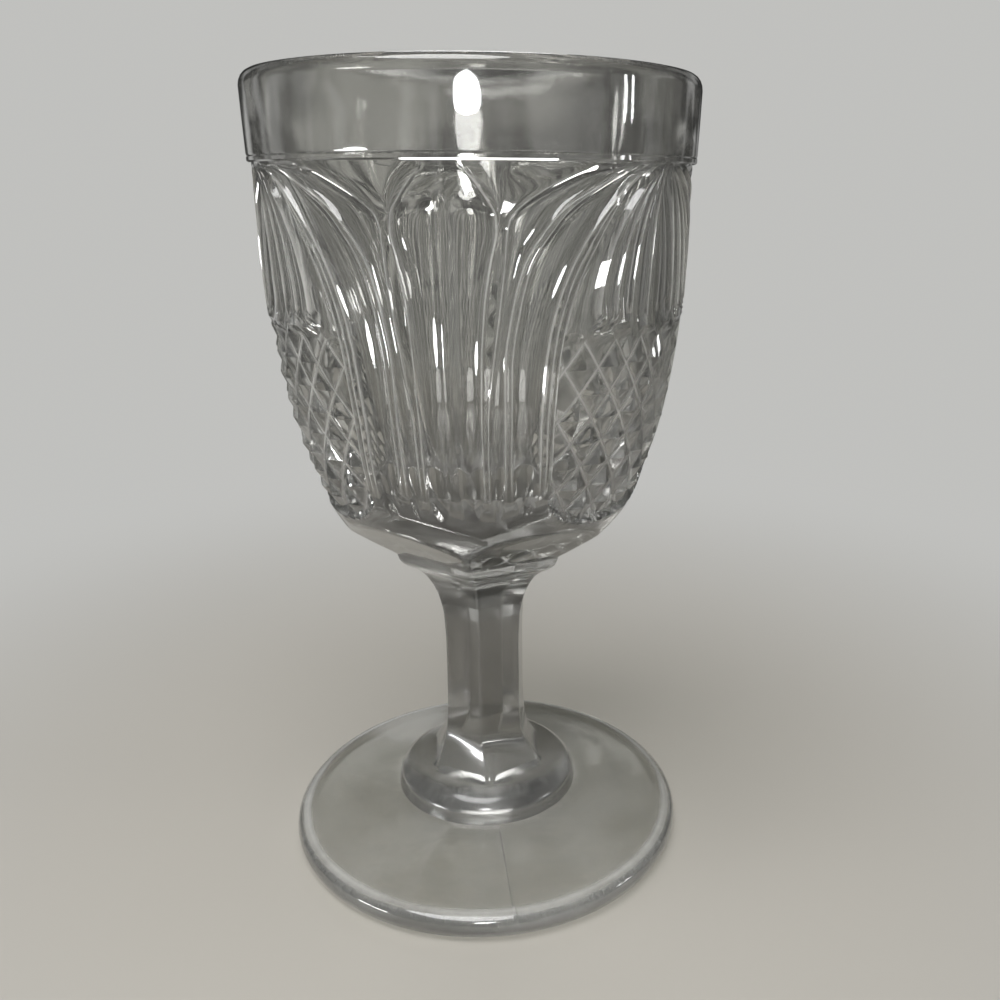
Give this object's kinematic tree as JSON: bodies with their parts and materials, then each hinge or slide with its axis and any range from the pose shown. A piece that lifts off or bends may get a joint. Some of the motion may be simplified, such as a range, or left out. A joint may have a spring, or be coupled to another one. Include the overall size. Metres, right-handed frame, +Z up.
{
  "type": "water goblet",
  "caption": "Clear pressed-glass water goblet: fluted and diamond-point bowl with a plain rim band, on a six-sided stem and a round foot.",
  "frame": {"origin": "centre of the foot's underside, on the surface that the goblet stands on", "axes": "+Z up along the goblet's axis, -Y towards the middle of one plain fluted panel, +X to the right when that panel is seen from the front"},
  "size_m": [0.086, 0.086, 0.1575],
  "materials": {
    "bowl_glass": "clear pressed glass, fire-polished, with light handling haze",
    "stem_glass": "clear pressed glass with flat moulded facets",
    "foot_glass": "clear pressed glass, lightly scuffed underneath"
  },
  "bodies": {
    "root": {"bowl": "bowl_glass", "collar": "stem_glass", "stem": "stem_glass", "stem_base": "stem_glass", "foot": "foot_glass"}
  },
  "joints": []
}
